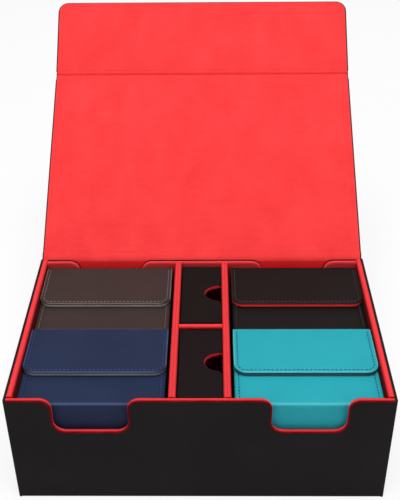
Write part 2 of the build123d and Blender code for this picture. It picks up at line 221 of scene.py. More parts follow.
class Finish:
    """A material in the making, or the light of the room."""

    def __init__(self, name, world=None):
        self.material = world or bpy.data.materials.new(name)
        self.material.use_nodes = True
        self.tree = self.material.node_tree
        self.tree.nodes.clear()

    def node(self, kind, settings=None, sockets=None, output=0):
        """Adds a node: its settings first, then a value or a link for each socket."""
        made = self.tree.nodes.new(kind)
        for name, value in (settings or {}).items():
            setattr(made, name, value)
        for name, value in (sockets or {}).items():
            if isinstance(value, Signal):
                self.tree.links.new(value.socket, made.inputs[name])
            else:
                made.inputs[name].default_value = value
        return Signal(self, made.outputs[output]) if made.outputs else None

    def grain(self, scale, detail=2.0, stretch=(1, 1, 1), kind="ShaderNodeTexNoise"):
        """A noise or cell pattern; scale is how many features fit in one metre."""
        where = self.node("ShaderNodeTexCoord", output="Object")
        where = self.node("ShaderNodeMapping", None, {"Vector": where, "Scale": stretch})
        values = {"Vector": where, "Scale": scale}
        if kind == "ShaderNodeTexNoise":
            values["Detail"] = detail
        return self.node(kind, None, values)

    def spread(self, signal, low, high):
        """Stretches the part of a signal between low and high to the full range from 0 to 1."""
        return self.node(
            "ShaderNodeMapRange", {"clamp": True}, {0: signal, 1: low, 2: high, 3: 0.0, 4: 1.0}
        )

    def mix(self, factor, first, second):
        """A colour between two colours."""
        return self.node("ShaderNodeMix", {"data_type": "RGBA"}, {0: factor, 6: first, 7: second}, 2)

    def rubbed(self):
        """How much a spot takes its pale colour, from 0 to 1, as its mesh says: wear with a painted highlight on the
        decks' edges, a painted highlight on the walls' crowns.
        """
        return self.node("ShaderNodeAttribute", {"attribute_name": "rubbed"}, output="Fac")

    def surface(self, bump, bump_depth, sockets):
        normal = self.node(
            "ShaderNodeBump", None, {"Strength": 1.0, "Distance": bump_depth, "Height": bump}
        )
        shader = self.node("ShaderNodeBsdfPrincipled", None, {**sockets, "Normal": normal})
        self.node("ShaderNodeOutputMaterial", None, {"Surface": shader})
        return self.material


def colour(red, green, blue):
    """A colour as a screen shows it, from 0 to 255, as the shader wants it."""
    channels = []
    for value in (red, green, blue):
        value = value / 255
        channels.append(value / 12.92 if value <= 0.04045 else ((value + 0.055) / 1.055) ** 2.4)
    return (*channels, 1.0)


def leather(name, tone, deep, rub, gloss=0.56, pores=1500.0, shine=0.1):
    """Synthetic leather: a fine pebble grain with darker pores, slow changes of tone, and edges made paler, by wear
    and a painted highlight, where its mesh marks them.
    """
    finish = Finish(name)
    cells = finish.grain(pores, kind="ShaderNodeTexVoronoi")
    fine = finish.grain(3200.0, 3.0)
    slow = finish.grain(26.0, 3.0)
    pebble = finish.spread(cells, 0.1, 0.75)
    cloud = finish.spread(slow, 0.32, 0.7)
    base = finish.mix(cloud * 0.45, tone, deep)
    base = finish.mix(pebble * 0.3, base, deep)
    base = finish.mix(finish.rubbed() * (0.35 + 0.4 * fine), base, rub)
    rough = gloss + 0.12 * fine + 0.06 * cloud
    return finish.surface(
        0.35 * fine - 0.75 * pebble,
        0.00007,
        {"Base Color": base, "Roughness": rough, "Specular IOR Level": shine},
    )


black_leather = leather(
    "black leather", colour(30, 27, 28), colour(23, 20, 21), colour(62, 57, 58), shine=0.05
)
black_cover = {"slot": "black_leather", "material": black_leather}


def covered(node_name, material):
    """Gives a solid of the frame its material."""
    materials = frame["nodes"][node_name].data.materials
    materials.clear()
    materials.append(material)


for outer_cover in ("base_panel", "front_cover", "left_cover", "right_cover", "spine_cover"):
    covered(outer_cover, black_leather)

# ------------------------
# Front and back walls. Board with a thin foam pad under short-napped red velvet, glued inside the
# leather. The velvet rolls over the top and through the two finger cut-outs; at the front it laps
# over the leather's edge, and the back wall has black leather behind it, which shows as a thin line.


def velvet(name, tone, deep, pale, pile=0.00012, wear=0.3, sheen=0.1):
    """Short-napped microfibre: brushed patches, tiny fibres, a soft sheen, and pale where its mesh marks a painted
    highlight.
    """
    finish = Finish(name)
    patches = finish.grain(48.0, 4.0, (1.0, 0.62, 0.62))
    brushed = finish.grain(330.0, 3.0, (0.35, 1.0, 1.0))
    fibres = finish.grain(2600.0, 3.0)
    patch = finish.spread(patches, 0.3, 0.72)
    streak = finish.spread(brushed, 0.3, 0.72)
    base = finish.mix(patch * 0.6, tone, deep)
    base = finish.mix(streak * 0.1, base, pale)
    base = finish.mix(finish.rubbed() * wear, base, pale)
    return finish.surface(
        0.8 * fibres + 0.5 * streak,
        pile,
        {
            "Base Color": base,
            "Roughness": 0.86 + 0.1 * fibres,
            "Specular IOR Level": 0.6 * sheen,
            "Sheen Weight": sheen,
            "Sheen Roughness": 0.45,
            "Sheen Tint": (1.0, 0.62, 0.6, 1.0),
        },
    )


red_velvet = velvet("red velvet", colour(231, 59, 60), colour(215, 43, 46), colour(242, 90, 92))
# The walls take a copy of the red velvet painted dark, as painted shade on the faces and down beside the decks; its
# pale colour is a painted highlight that the crowns take as their meshes mark.
wall_velvet = velvet(
    "wall velvet", colour(92, 3, 6), colour(68, 2, 4), colour(231, 61, 65), wear=1.0, sheen=0.02
)
red_lining = {"slot": "red_velvet", "material": red_velvet}
wall_cover = {"slot": "red_velvet", "material": wall_velvet}
wall_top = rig.box("front_wall")[1].z
cutout_centre = 77.4 * mm
cutout_width = 53.2 * mm
cutout_depth = 30.2 * mm
shoulder_radius = 8.5 * mm
cutout_radius = 9.0 * mm
arc_steps = 12


def run(first, last, spacing=6 * mm):
    """Evenly spaced values from first to last, both included."""
    count = max(1, round(abs(last - first) / spacing))
    return [first + (last - first) * step / count for step in range(count + 1)]


def arc(centre, radius, first, last):
    """Points on an arc with the direction in which each lies from the centre, angles in degrees."""
    points = []
    for angle in run(math.radians(first), math.radians(last), math.radians(90 / arc_steps)):
        way = (math.cos(angle), math.sin(angle))
        points.append(((centre[0] + radius * way[0], centre[1] + radius * way[1]), way))
    return points


def cutout_edge(half_length):
    """A wall's top edge from left to right, through both cut-outs: (along, z) and the way in."""
    low = wall_top - cutout_depth
    edge = []
    start = -half_length

    def level_run(first, last, z):
        return [((x, z), (0, -1)) for x in run(first, last)]

    def shoulder(x, first, last):
        """The round upper corner of a cut-out, whose centre lies in the board."""
        bend = arc((x, wall_top - shoulder_radius), shoulder_radius, first, last)
        return [(point, (-way[0], -way[1])) for point, way in bend]

    for centre in (-cutout_centre, cutout_centre):
        left = centre - cutout_width / 2
        right = centre + cutout_width / 2
        edge += level_run(start, left - shoulder_radius, wall_top)[:-1]
        edge += shoulder(left - shoulder_radius, 90, 0)
        edge += arc((left + cutout_radius, low + cutout_radius), cutout_radius, 180, 270)
        edge += level_run(left + cutout_radius, right - cutout_radius, low)[1:-1]
        edge += arc((right - cutout_radius, low + cutout_radius), cutout_radius, 270, 360)
        edge += shoulder(right + shoulder_radius, 180, 90)
        start = right + shoulder_radius
    return edge + level_run(start, half_length, wall_top)[1:]


def placed(name, data):
    """Puts a mesh, a lamp or the camera into the scene."""
    thing = bpy.data.objects.new(name, data)
    bpy.context.scene.collection.objects.link(thing)
    return thing


sharp_edge = math.radians(55)


def finished(name, points, faces, body, slot, material, stands_for=(), rub=None):
    """Makes the object of a mesh, smooth but for real edges, with its finish and its body."""
    mesh = bpy.data.meshes.new(name)
    mesh.from_pydata([tuple(point) for point in points], [], faces)
    work = bmesh.new()
    work.from_mesh(mesh)
    bmesh.ops.remove_doubles(work, verts=work.verts, dist=0.000001)
    bmesh.ops.recalc_face_normals(work, faces=work.faces)
    work.to_mesh(mesh)
    work.free()
    mesh.shade_smooth()
    mesh.set_sharp_from_angle(angle=sharp_edge)
    mesh.materials.append(material)
    # The mask of wear and painted highlight that the finishes read, where one is given.
    if rub:
        layer = mesh.attributes.new("rubbed", "FLOAT", "POINT")
        layer.data.foreach_set("value", [rub(vertex.co) for vertex in mesh.vertices])
    piece = placed(name, mesh)
    if body:
        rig.ride(piece, body)
    if stands_for:
        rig.replaces(piece, *stands_for)
    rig.slot(piece, slot)
    return piece


def bands(faces, loops, closed=True):
    """Adds the faces between loops of point numbers that follow one another."""
    for first, second in zip(loops, loops[1:]):
        for item in range(len(first) if closed else len(first) - 1):
            after = (item + 1) % len(first)
            faces.append((first[item], first[after], second[after], second[item]))


def counted(count, size, start=0):
    """The point numbers of a count of loops of one size."""
    return [range(start + size * item, start + size * (item + 1)) for item in range(count)]


def board(name, edge, section, bottom, place, body, ripple, pad=True, **about):
    """A covered board: a section of (inset, depth) steps carried along its top edge, flat below."""
    points = []
    faces = []
    for (along, z), way in edge:
        for inset, depth in section:
            swell = ripple * noise.noise(Vector((along * 90, z * 90, depth * 160)))
            reach = inset - swell
            points.append(place(along + way[0] * reach, depth, z + way[1] * reach))
    loops = counted(len(edge), len(section))
    bands(faces, loops, closed=False)
    feet = {}
    for item in (0, -1):
        for step in (0, -1):
            feet[item, step] = len(points)
            points.append(place(edge[item][0][0], section[step][1], bottom))
    for step in (0, -1):
        faces.append((*[loop[step] for loop in loops], feet[-1, step], feet[0, step]))
    for item in (0, -1):
        faces.append((*loops[item], feet[item, -1], feet[item, 0]))
    faces.append((feet[0, 0], feet[-1, 0], feet[-1, -1], feet[0, -1]))
    piece = finished(name, points, faces, body, **about)
    if pad:
        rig.padded(piece, fill=0.9)


def along_x(along, depth, z):
    return Vector((along, depth, z))


def along_y(along, depth, z):
    return Vector((depth, along, z))


low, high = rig.box("front_wall")
front = low.y
inner = high.y
crown_depth = 2.1 * mm
crown_half = 1.8 * mm
wall_ripple = 0.12 * mm
# How far in from the edge, and how deep: from inside the leather, out over its edge and the crown.
front_section = [
    (2.6 * mm, front + 1.5 * mm),
    (1.5 * mm, front + 0.4 * mm),
    (1.5 * mm, front - 0.05 * mm),
    (1.3 * mm, front - 0.24 * mm),
    (1.0 * mm, front - 0.3 * mm),
    (0.65 * mm, front - 0.16 * mm),
    (0.35 * mm, front + 0.14 * mm),
    (0.12 * mm, front + 0.65 * mm),
    (0.0, front + 1.4 * mm),
    (0.1 * mm, front + 2.1 * mm),
    (0.4 * mm, front + 2.8 * mm),
    (0.9 * mm, front + 3.6 * mm),
    (1.3 * mm, inner - 0.2 * mm),
    (2.2 * mm, inner - 0.03 * mm),
    (3.6 * mm, inner),
]
# The front wall's velvet takes a painted highlight in a band along its crown; the lap over the leather and the inner
# face keep the dark tone as painted shade.
board(
    "front_wall_velvet", cutout_edge(high.x), front_section, low.z, along_x, "case", wall_ripple,
    **wall_cover, stands_for=["front_wall"],
    rub=lambda point: max(0.0, 1.0 - (abs(point.y - front - crown_depth) / crown_half) ** 2),
)

low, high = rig.box("back_wall")
backing = 0.9 * mm
thick = high.y - low.y - backing
back_crown = 1.9 * mm
below_crown = 3.4 * mm
back_section = [(below_crown, low.y)]
for step in range(13):
    turn = math.pi * step / 12
    depth = low.y + thick / 2 - thick / 2 * math.cos(turn)
    back_section.append((back_crown * (1 - math.sin(turn)), depth))
back_section.append((below_crown, low.y + thick))
# The back wall's top takes a painted highlight, strongest midway across it and less towards both faces.
board(
    "back_wall_velvet", cutout_edge(high.x), back_section, low.z, along_x, "case", wall_ripple,
    **wall_cover, stands_for=["back_wall"],
    rub=lambda point: 0.95 - 0.35 * (abs(point.y - low.y - thick / 2) / (thick / 2)) ** 2,
)
backing_section = [
    (below_crown, low.y + thick - 0.3 * mm),
    (0.3 * mm, low.y + thick - 0.3 * mm),
    (0.05 * mm, low.y + thick),
    (-0.1 * mm, high.y - 0.45 * mm),
    (0.05 * mm, high.y - 0.1 * mm),
    (below_crown, high.y - 0.05 * mm),
]
board(
    "back_wall_leather", cutout_edge(high.x), backing_section, low.z, along_x, "case", 0.0,
    pad=False, **black_cover,
)

# ------------------------
# Side walls and dividers. Velvet over padded board, pushed down between the front and back walls.
# A divider is two boards in one sleeve of velvet, so a faint groove runs along the middle of its top.
# The side walls' velvet laps a little over the side covers; the crowns take a painted highlight, and the faces and the
# dividers' grooves a painted shade.


def dip(distance, depth, width):
    """Depth of a soft groove at a distance from its middle."""
    return depth * math.exp(-((distance / width) ** 2))


groove_width = 0.7 * mm


def padded_section(first, last, roll, groove):
    """Section of an upright board from side to side: round shoulders and a groove between two pads."""
    middle = (first + last) / 2
    half = (last - first) / 2
    section = [(roll * 2.4, first), (roll * 1.4, first)]
    for step in range(17):
        side = -math.cos(math.pi * step / 16)
        shoulder = (1 - math.sqrt(max(0.0, 1 - abs(side) ** 2.2))) * roll
        section.append((shoulder + dip(side * half, groove, groove_width), middle + side * half))
    section += [(roll * 1.4, last), (roll * 2.4, last)]
    return section


cover_lap = 0.9 * mm
cover_rise = 0.1 * mm
upright_ripple = 0.16 * mm
# How far down from the crown the painted highlight fades, and how much painted shade darkens a divider's groove.
highlight_falloff = 2.6 * mm
groove_shade = 0.2
upright_boards = [
    ("left_wall", along_y, 2.4 * mm, 0.0, -cover_lap),
    ("right_wall", along_y, 2.4 * mm, 0.0, cover_lap),
    ("left_divider", along_y, 2.2 * mm, 0.5 * mm, 0.0),
    ("right_divider", along_y, 2.2 * mm, 0.5 * mm, 0.0),
    ("cross_divider", along_x, 1.8 * mm, 0.0, 0.0),
]
for node_name, place, roll, groove, outward in upright_boards:
    low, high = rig.box(node_name)
    if place is along_y:
        ends = (low.y, high.y)
        sides = (low.x + min(0.0, outward), high.x + max(0.0, outward))
    else:
        ends = (low.x, high.x)
        sides = (low.y, high.y)
    crown = high.z + (cover_rise if outward else 0.0)
    straight = [((along, crown), (0, -1)) for along in run(*ends, 4 * mm)]
    middle = sum(sides) / 2

    def crown_highlight(point):
        """Painted highlight: most on the crown, less down both faces, where the dark tone shows as painted shade, and
        less in the groove between a divider's two boards, as painted shade there too.
        """
        in_groove = dip(point.x - middle, groove_shade, 0.6 * mm) if groove else 0.0
        return max(0.0, 1.0 - max(0.0, crown - point.z) / highlight_falloff - in_groove)

    board(
        f"{node_name}_velvet", straight, padded_section(*sides, roll, groove), low.z, place, "case",
        upright_ripple, **wall_cover, stands_for=[node_name], rub=crown_highlight,
    )

# ------------------------
# Floor and spine linings. Velvet cut to size and laid on the base board and on the front of the
# spine, where it shows through the back wall's cut-outs. The spine's piece takes its own copy of the
# velvet, painted a brighter, more saturated red: painted light against the shade it lies in.


def side_fractions(length, fine, spacing):
    """Where points stand along one straight side, from 0 to 1: close together near both ends."""
    near = [distance for distance in fine if distance < length * 0.4]
    first = near[-1] if near else 0.0
    places = {0.0, length, *near[:-1], *run(first, length - first, spacing)}
    places.update(length - distance for distance in near[:-1])
    return [place / length for place in sorted(places)]


corner_steps = 3


def rounded_outline(x, y, corners, inset, fine, spacing):
    """Four sides of a rounded rectangle drawn in by an inset, each from mid corner to mid corner.
    x and y are (low, high); corners are the radii from low-low round to low-high."""
    reach = [max(radius, inset + 0.02 * mm) for radius in corners]
    radii = [max(radius - inset, 0.02 * mm) for radius in corners]
    centres = [
        (x[0] + reach[0], y[0] + reach[0]),
        (x[1] - reach[1], y[0] + reach[1]),
        (x[1] - reach[2], y[1] - reach[2]),
        (x[0] + reach[3], y[1] - reach[3]),
    ]

    def on_corner(corner, angle):
        across, up = centres[corner]
        return (across + radii[corner] * math.cos(angle), up + radii[corner] * math.sin(angle))

    sides = []
    for side in range(4):
        after = (side + 1) % 4
        out = math.radians(-90 + 90 * side)
        start = on_corner(side, out)
        end = on_corner(after, out)
        length = y[1] - y[0] if side % 2 else x[1] - x[0]
        eighth = math.pi / 4
        spots = []
        for part in range(corner_steps):
            spots.append(on_corner(side, out - eighth * (1 - part / corner_steps)))
        for share in side_fractions(length, fine, spacing):
            spots.append(tuple(a + (b - a) * share for a, b in zip(start, end)))
        for part in range(1, corner_steps + 1):
            spots.append(on_corner(after, out + eighth * part / corner_steps))
        sides.append(spots)
    return sides


def filled(faces, sides, loop, add):
    """Adds the faces across a loop of four sides, on a grid of points blended between the sides."""
    columns = len(sides[0]) - 1
    rows = len(sides[1]) - 1
    grid = {}
    for column in range(columns):
        grid[column, 0] = loop[0][column]
        grid[columns - column, rows] = loop[2][column]
    for row in range(rows):
        grid[columns, row] = loop[1][row]
        grid[0, rows - row] = loop[3][row]
    for column in range(1, columns):
        for row in range(1, rows):
            u = column / columns
            v = row / rows
            spot = []
            for axis in range(2):
                first = sides[0][0][axis] * (1 - u) + sides[0][-1][axis] * u
                second = sides[3][0][axis] * (1 - u) + sides[2][0][axis] * u
                spot.append(
                    sides[0][column][axis] * (1 - v) + sides[2][columns - column][axis] * v
                    + sides[3][rows - row][axis] * (1 - u) + sides[1][row][axis] * u
                    - first * (1 - v) - second * v
                )
            grid[column, row] = add(*spot)
    for column in range(columns):
        lower = [grid[column, row] for row in range(rows + 1)]
        upper = [grid[column + 1, row] for row in range(rows + 1)]
        for row in range(rows):
            faces.append((lower[row], upper[row], upper[row + 1], lower[row + 1]))


def carried(name, x, y, corners, section, place, body, relief=None, fine=(), spacing=6 * mm, **about):
    """A closed mesh: a rounded outline carried through a section of (inset, height) steps and filled
    at its first and its last loop. relief gives each point's small shift."""
    points = []
    faces = []
    loops = []
    for inset, height in section:

        def add(across, up, inset=inset):
            shift = relief(across, up, height, inset) if relief else (0.0, 0.0, 0.0)
            points.append(place(across + shift[0], up + shift[1], height + shift[2]))
            return len(points) - 1

        sides = rounded_outline(x, y, corners, inset, fine, spacing)
        loop = [[add(*spot) for spot in side[:-1]] for side in sides]
        loops.append([number for side in loop for number in side])
        if len(loops) in (1, len(section)):
            filled(faces, sides, loop, lambda across, up: add(across, up, max(inset, 20 * mm)))
    bands(faces, loops)
    return finished(name, points, faces, body, **about)


def level(across, up, height):
    return Vector((across, up, height))


def sheet_section(top, bottom, soft, inner_rings):
    """Rim of a sheet from top to underside, rounded by soft, with loops further in for seams."""
    rounding = []
    for step in range(5):
        turn = math.pi / 2 * step / 4
        rounding.append((soft * (1 - math.sin(turn)), soft * (1 - math.cos(turn))))
    above = [(inset, top) for inset in inner_rings] + [(inset, top - drop) for inset, drop in rounding]
    below = [(inset, bottom + drop) for inset, drop in reversed(rounding)]
    return above + below + [(inner_rings[0], bottom)]


low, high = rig.box("floor_lining")


def floor_relief(across, up, height, inset):
    """The velvet's upper side isn't quite level."""
    rise = 0.1 * mm * noise.noise(Vector((across * 60, up * 60, 0)))
    return (0.0, 0.0, rise if height > low.z + 1 * mm else 0.0)


lining_corners = [1 * mm] * 4
floor_velvet = carried(
    "floor_velvet", (low.x, high.x), (low.y, high.y), lining_corners,
    sheet_section(high.z, low.z, 0.4 * mm, [4 * mm]), level, "case", relief=floor_relief,
    **red_lining, stands_for=["floor_lining"],
)
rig.sheet(floor_velvet, (high.x - low.x, high.y - low.y), "laid", ["base_panel"])

# A copy of the red velvet painted a brighter, more saturated red, as painted light on the spine's lining.
spine_brightened_velvet = velvet(
    "spine velvet", colour(250, 41, 44), colour(242, 32, 36), colour(252, 66, 68), sheen=0.02
)
low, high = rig.box("spine_lining")
spine_velvet = carried(
    "spine_velvet", (low.x, high.x), (low.z, high.z), lining_corners,
    sheet_section(low.y, high.y, 0.0, [4 * mm]),
    lambda across, up, height: Vector((across, height, up)), "case",
    slot="red_velvet", material=spine_brightened_velvet, stands_for=["spine_lining"],
)
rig.sheet(spine_velvet, (high.x - low.x, high.z - low.z), "laid", ["spine_cover"])

# ------------------------
# Lid and flap. Each is a board between leather outside and velvet inside, sewn together all round
# about 3 mm from the edge, so that the seam sinks into both faces.
hinges = {joint["name"]: joint for joint in frame["joints"]}
hinge_point = Vector(hinges["lid_hinge"]["pos_m"])
crease_point = Vector(hinges["flap_hinge"]["pos_m"])
lid_length = (crease_point - hinge_point).length
lid_along = (crease_point - hinge_point).normalized()
lid_out = Vector((0, -lid_along.z, lid_along.y))
flap_turn = math.radians(hinges["flap_hinge"]["range_deg"][1])
flap_along = Euler((flap_turn, 0, 0)).to_matrix() @ lid_along
flap_out = Vector((0, -flap_along.z, flap_along.y))
lid_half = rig.box("lid_cover")[1].x
flap_tip = max(
    (vertex.co - crease_point).dot(flap_along) for vertex in frame["nodes"]["flap_cover"].data.vertices
)
fold_half = 4 * mm
leather_low = -2.6 * mm
leather_high = -0.2 * mm
velvet_high = 0.8 * mm
velvet_inset = 1.2 * mm
flap_corner = 9.5 * mm
seam_inset = 3.2 * mm
seam_depth = 0.3 * mm
seam_width = 0.5 * mm
cut_corner = 0.4 * mm
seam_rings = [9 * mm, 6 * mm, 4.4 * mm, 3.8 * mm, 3.5 * mm, 3.2 * mm, 2.9 * mm, 2.6 * mm, 2 * mm]


def on_lid(across, up, height):
    return hinge_point + Vector((across, 0, 0)) + up * lid_along + height * lid_out


def on_flap(across, up, height):
    return crease_point + Vector((across, 0, 0)) + up * flap_along + height * flap_out


def edge_distance(across, up, half_width, far, corner):
    """How far a point of a sheet is from its sewn edge; far is None where that end isn't sewn."""
    side = half_width - abs(across)
    if far is None:
        return side
    end = far - up
    if side < corner and end < corner:
        return corner - math.hypot(corner - side, corner - end)
    return min(side, end)


def sewn_relief(half_width, far, corner, middle, cushion, sign=1):
    """Shift that sinks the seam on a sheet's outer side and swells the sheet a little inside it."""

    def relief(across, up, height, inset):
        if sign * (height - middle) < 0:
            return (0.0, 0.0, 0.0)
        distance = edge_distance(across, up, half_width, far, corner)
        wave = 0.12 * mm * noise.noise(Vector((across * 22, up * 22, half_width)))
        wave += 0.05 * mm * noise.noise(Vector((across * 110, up * 110, half_width)))
        swell = cushion * min(1.0, max(0.0, (distance - seam_inset) / (9 * mm)))
        sunk = dip(distance - seam_inset, seam_depth, seam_width)
        return (0.0, 0.0, sign * (wave * min(1.0, distance / (4 * mm)) + swell - sunk))

    return relief


velvet_half = lid_half - velvet_inset
lid_parts = [
    ("lid", on_lid, lid_length - fold_half, None, cut_corner),
    ("flap", on_flap, flap_tip, flap_tip, flap_corner),
]
sewing_fine = [1 * mm, 2 * mm, 3 * mm, 5 * mm]
for part, place, far, sewn_end, corner in lid_parts:
    carried(
        f"{part}_leather", (-lid_half, lid_half), (fold_half, far),
        [cut_corner, cut_corner, corner, corner],
        sheet_section(leather_high, leather_low, 0.95 * mm, seam_rings), place, part,
        relief=sewn_relief(lid_half, sewn_end, corner, -1.4 * mm, 0.0, sign=-1),
        fine=sewing_fine, spacing=7 * mm, **black_cover, stands_for=[f"{part}_cover"],
    )
    inner_far = far if sewn_end is None else far - velvet_inset
    inner_end = None if sewn_end is None else inner_far
    inner_corner = max(cut_corner, corner - velvet_inset)
    carried(
        f"{part}_velvet", (-velvet_half, velvet_half), (fold_half, inner_far),
        [cut_corner, cut_corner, inner_corner, inner_corner],
        sheet_section(velvet_high, leather_high - 0.3 * mm, 0.6 * mm, seam_rings), place, part,
        relief=sewn_relief(velvet_half, inner_end, inner_corner, 0.3 * mm, 0.1 * mm),
        fine=sewing_fine, spacing=5 * mm, **red_lining, stands_for=[f"{part}_lining"],
    )

# ------------------------
# Sewing. One row of lockstitch in waxed thread runs up both long sides of the lid and round the
# flap, red inside and black outside; the stitches lie in the groove that they pull into the sheet.


def thread(name, tone, deep):
    """Twisted polyester thread."""
    finish = Finish(name)
    twist = finish.grain(5200.0, 1.0, (1.0, 1.0, 0.4))
    slow = finish.grain(420.0, 1.0)
    return finish.surface(
        twist, 0.00005,
        {"Base Color": finish.mix(slow, tone, deep), "Roughness": 0.5 + 0.2 * twist},
    )


spindle = [(-1, 0.35), (-0.78, 0.85), (0, 1.0), (0.78, 0.85), (1, 0.35)]
spokes = 6


def sewing(name, route, out, body, slot, material, pitch=3.3 * mm, length=2.4 * mm, radius=0.26 * mm):
    """A row of stitches along a route of points, each a small plump spindle set a little askew."""
    chooser = random.Random(len(route))
    points = []
    faces = []
    lengths = [0.0]
    for first, second in zip(route, route[1:]):
        lengths.append(lengths[-1] + (second - first).length)
    count = int(lengths[-1] / pitch)
    leg = 0
    for stitch in range(count):
        middle = (stitch + 0.5) * lengths[-1] / count
        while lengths[leg + 1] < middle:
            leg += 1
        share = (middle - lengths[leg]) / (lengths[leg + 1] - lengths[leg])
        centre = route[leg].lerp(route[leg + 1], share)
        ahead = (route[leg + 1] - route[leg]).normalized()
        ahead = (ahead + out.cross(ahead) * (0.1 + chooser.uniform(-0.04, 0.04))).normalized()
        aside = out.cross(ahead)
        rings = counted(len(spindle), spokes, len(points))
        for reach, fat in spindle:
            core = centre + ahead * reach * length / 2 - out * (0.3 * radius * reach * reach)
            for spoke in range(spokes):
                turn = 2 * math.pi * spoke / spokes
                points.append(core + (aside * math.cos(turn) + out * math.sin(turn)) * radius * fat)
        bands(faces, rings)
        faces += [tuple(rings[0]), tuple(rings[-1])]
    finished(name, points, faces, body, slot, material)


def round_flap(half_width, near, far, corner, inset, place, height):
    """Route of a seam up one side of a flap, round its two corners and down the other side."""
    side = half_width - inset
    top = far - inset
    bend = corner - inset
    spots = [(-side, along) for along in run(near, top - bend)]
    spots += [point for point, way in arc((-side + bend, top - bend), bend, 180, 90)]
    spots += [(across, top) for across in run(-side + bend, side - bend)[1:]]
    spots += [point for point, way in arc((side - bend, top - bend), bend, 90, 0)]
    spots += [(side, along) for along in run(top - bend, near)[1:]]
    return [place(*spot, height) for spot in spots]


red_thread = thread("red thread", colour(226, 46, 52), colour(206, 34, 42))
black_thread = thread("black thread", colour(52, 47, 47), colour(38, 34, 35))
seam_start = 6 * mm
seam_sides = velvet_half - seam_inset
seam_top = velvet_high - 0.12 * mm
outer_seam_top = leather_low + 0.12 * mm
seam_run = run(seam_start, lid_length - seam_start)
for side, word in ((-1, "left"), (1, "right")):
    inside = [on_lid(side * seam_sides, up, seam_top) for up in seam_run]
    outside = [on_lid(side * (lid_half - seam_inset), up, outer_seam_top) for up in seam_run]
    sewing(f"lid_{word}_stitches", inside, lid_out, "lid", "red_velvet", red_thread)
    sewing(f"lid_{word}_outer_stitches", outside, -lid_out, "lid", "black_leather", black_thread)
sewing(
    "flap_stitches",
    round_flap(
        velvet_half, seam_start, flap_tip - velvet_inset, flap_corner - velvet_inset, seam_inset,
        on_flap, seam_top,
    ),
    flap_out, "flap", "red_velvet", red_thread,
)
sewing(
    "flap_outer_stitches",
    round_flap(lid_half, seam_start, flap_tip, flap_corner, seam_inset, on_flap, outer_seam_top),
    -flap_out, "flap", "black_leather", black_thread,
)

# ------------------------
# Folds. Between spine and lid, and between lid and flap, there is no board: the leather and the
# velvet run on by themselves, pressed together into a shallow groove, and bend there.


def fold(name, half_width, upper, lower, bodies, start, end, **about):
    """A strip across a fold between an upper and a lower line of points, bent between two bodies."""
    points = []
    faces = []
    count = len(upper)
    columns = run(-half_width, half_width, 8 * mm)
    for column in columns:
        points += [point + Vector((column, 0, 0)) for point in upper + lower]
    loops = counted(len(columns), 2 * count)
    bands(faces, [loop[:count] for loop in loops], closed=False)
    bands(faces, [loop[count:] for loop in loops], closed=False)
    for step in (0, count - 1):
        bands(faces, [(loop[step], loop[count + step]) for loop in loops], closed=False)
    for loop in (loops[0], loops[-1]):
        bands(faces, [loop[:count], loop[count:]], closed=False)
    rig.blend(finished(name, points, faces, None, **about), *bodies, start, end)


def between(first, control, last, steps=10):
    """Points on a curve that leaves first towards control and arrives at last from it."""
    curve = []
    for step in range(steps + 1):
        t = step / steps
        curve.append(first.lerp(control, t).lerp(control.lerp(last, t), t))
    return curve


def at(y, z):
    return Vector((0, y, z))


spine_low, spine_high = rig.box("spine_cover")
lining_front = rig.box("spine_lining")[0].y
top_of_spine = spine_high.z - 0.2 * mm
hinge_z = hinge_point.z
fold_start = at(hinge_point.y, spine_high.z)
fold_end = on_lid(0, fold_half, 0)
black_end = fold_half + 0.2 * mm
red_end = fold_half + 0.3 * mm
fold(
    "lid_fold_black", lid_half,
    between(
        at(spine_low.y, top_of_spine), at(spine_low.y + 0.2 * mm, hinge_z - 0.6 * mm),
        on_lid(0, black_end, leather_high),
    ),
    between(
        at(spine_high.y - 0.1 * mm, top_of_spine), at(spine_high.y + 0.2 * mm, hinge_z - 2.2 * mm),
        on_lid(0, black_end, leather_low + 0.15 * mm),
    ),
    ("case", "lid"), fold_start, fold_end, **black_cover, stands_for=["lid_fold_leather"],
)
fold(
    "lid_fold_red", velvet_half,
    between(
        at(lining_front, top_of_spine), at(lining_front + 0.1 * mm, hinge_z),
        on_lid(0, red_end, velvet_high),
    ),
    between(
        at(lining_front + 0.75 * mm, top_of_spine), at(lining_front + 0.9 * mm, hinge_z - 0.4 * mm),
        on_lid(0, red_end, leather_high),
    ),
    ("case", "lid"), fold_start, fold_end, **red_lining, stands_for=["lid_fold_lining"],
)


def across_crease(height, dent, width):
    """Line of points across the crease at a height above the sheet, dented in the middle."""
    line = []
    for step in range(17):
        along = (step / 8 - 1) * (fold_half + 0.2 * mm)
        sunk = height - dip(along, dent, width)
        line.append(on_lid(0, lid_length + along, sunk) if along < 0 else on_flap(0, along, sunk))
    return line


crease_start = on_lid(0, lid_length - fold_half, 0)
crease_end = on_flap(0, fold_half, 0)
fold(
    "flap_fold_black", lid_half - 0.3 * mm, across_crease(-1.5 * mm, 0.2 * mm, 2 * mm),
    across_crease(leather_low + 0.1 * mm, -0.7 * mm, 2 * mm), ("lid", "flap"), crease_start,
    crease_end, **black_cover, stands_for=["flap_fold_leather"],
)
fold(
    "flap_fold_red", velvet_half - 0.2 * mm, across_crease(velvet_high - 0.1 * mm, 1.5 * mm, 1.0 * mm),
    across_crease(-1.4 * mm, 0.2 * mm, 2 * mm), ("lid", "flap"), crease_start, crease_end,
    **red_lining, stands_for=["flap_fold_lining"],
)
# The lid's lining is cut in one with both fold strips, so its sheet is stated once they are there.
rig.sheet(
    bpy.data.objects["lid_velvet"], (2 * velvet_half, lid_length - 2 * fold_half), "laid",
    ["lid_leather"], with_pieces=["lid_fold_red", "flap_fold_red"],
)
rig.sheet(
    bpy.data.objects["flap_velvet"], (2 * velvet_half, flap_tip - velvet_inset - fold_half), "laid",
    ["flap_leather"],
)
